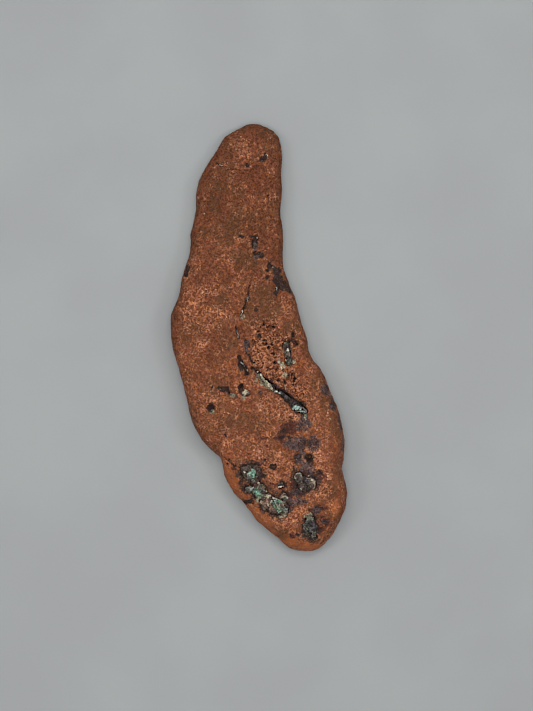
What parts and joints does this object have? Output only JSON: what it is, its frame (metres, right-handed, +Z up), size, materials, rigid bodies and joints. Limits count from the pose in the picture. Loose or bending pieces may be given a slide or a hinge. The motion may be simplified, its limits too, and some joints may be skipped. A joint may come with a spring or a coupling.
{
  "type": "native copper nugget",
  "caption": "Long, flat, water-worn nugget of native copper with rounded rims, lying flat, with green and grey minerals in the pits of its broad end.",
  "frame": {"origin": "centre of the bounding box's base, on the surface the nugget lies on", "axes": "+Y towards the narrow end, +X to the right seen from above, +Z up out of the surface it lies on"},
  "size_m": [0.033, 0.08, 0.0066],
  "materials": {
    "copper": "worn red-brown native copper with a dull oxide skin and bright rubbed grains",
    "malachite": "green, tan and white grains",
    "white_grains": "small white glassy grains",
    "grey_grains": "grey-brown glassy grains",
    "dark_green_grains": "dark grey-green grains",
    "pale_mineral": "cream-green grain",
    "grey_green_grains": "dull grey-green grains",
    "vein_mineral": "cream, white and turquoise vein filling between dark walls"
  },
  "bodies": {
    "root": {"copper_nugget": "copper", "malachite_crust": "malachite", "ring_pit_grains": "white_grains", "grey_crust": "grey_grains", "tip_crust": "dark_green_grains", "pale_grain": "pale_mineral", "upper_green_grains": "grey_green_grains", "vein_filling": "vein_mineral"}
  },
  "joints": []
}
